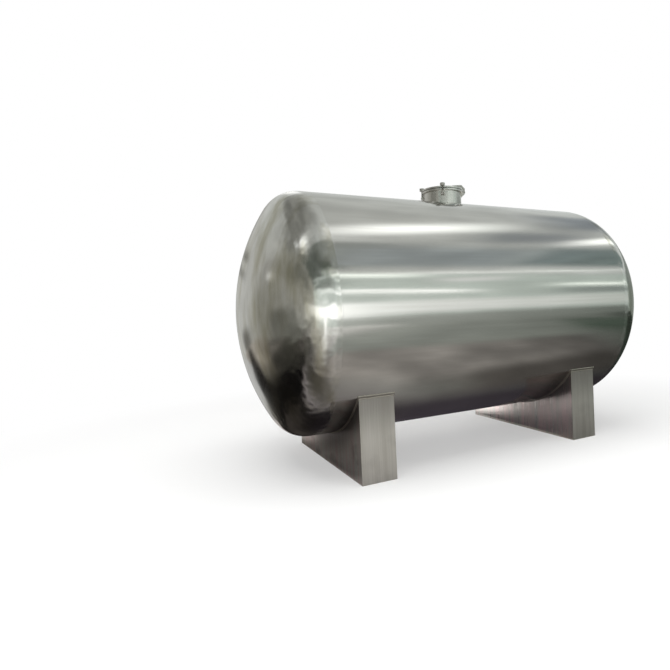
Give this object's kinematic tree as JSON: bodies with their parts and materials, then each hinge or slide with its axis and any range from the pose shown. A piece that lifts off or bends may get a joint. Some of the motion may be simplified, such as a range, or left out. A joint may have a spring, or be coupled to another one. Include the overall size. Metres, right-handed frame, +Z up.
{
  "type": "horizontal chemical storage tank",
  "caption": "Horizontal stainless steel storage tank with dished heads and a clamped round manway on top, standing on two box saddles.",
  "frame": {"origin": "on the ground under the middle of the tank: the centre of the bounding box's base", "axes": "+X along the tank towards the right head, +Y across it towards the back, +Z up"},
  "size_m": [4.1346, 2.2, 2.7],
  "materials": {
    "shell_plate": "bright rolled stainless steel, fine grain along the tank",
    "head_plate": "mirror-polished stainless steel",
    "manway_steel": "polished stainless steel",
    "fitting_steel": "turned and tumbled stainless steel",
    "gasket_rubber": "moulded rubber",
    "saddle_pad_plate": "satin stainless steel",
    "saddle_plate": "satin stainless steel, brushed upright"
  },
  "bodies": {
    "root": {"shell_left": "shell_plate", "shell_middle": "shell_plate", "shell_right": "shell_plate", "left_head": "head_plate", "right_head": "head_plate", "manway_neck": "manway_steel", "manway_flange": "manway_steel", "manway_gasket": "gasket_rubber", "manway_lid": "manway_steel", "hinge_bracket": "fitting_steel", "hinge_arm": "fitting_steel", "hinge_pin": "fitting_steel", "clamp_lug_1": "fitting_steel", "clamp_pin_1": "fitting_steel", "clamp_bolt_1": "fitting_steel", "clamp_nut_1": "fitting_steel", "clamp_lug_2": "fitting_steel", "clamp_pin_2": "fitting_steel", "clamp_bolt_2": "fitting_steel", "clamp_nut_2": "fitting_steel", "clamp_lug_3": "fitting_steel", "clamp_pin_3": "fitting_steel", "clamp_bolt_3": "fitting_steel", "clamp_nut_3": "fitting_steel", "left_saddle_pad": "saddle_pad_plate", "left_saddle_outer_web": "saddle_plate", "left_saddle_inner_web": "saddle_plate", "left_saddle_front_end": "saddle_plate", "left_saddle_back_end": "saddle_plate", "left_saddle_base": "saddle_plate", "right_saddle_pad": "saddle_pad_plate", "right_saddle_outer_web": "saddle_plate", "right_saddle_inner_web": "saddle_plate", "right_saddle_front_end": "saddle_plate", "right_saddle_back_end": "saddle_plate", "right_saddle_base": "saddle_plate"}
  },
  "joints": []
}
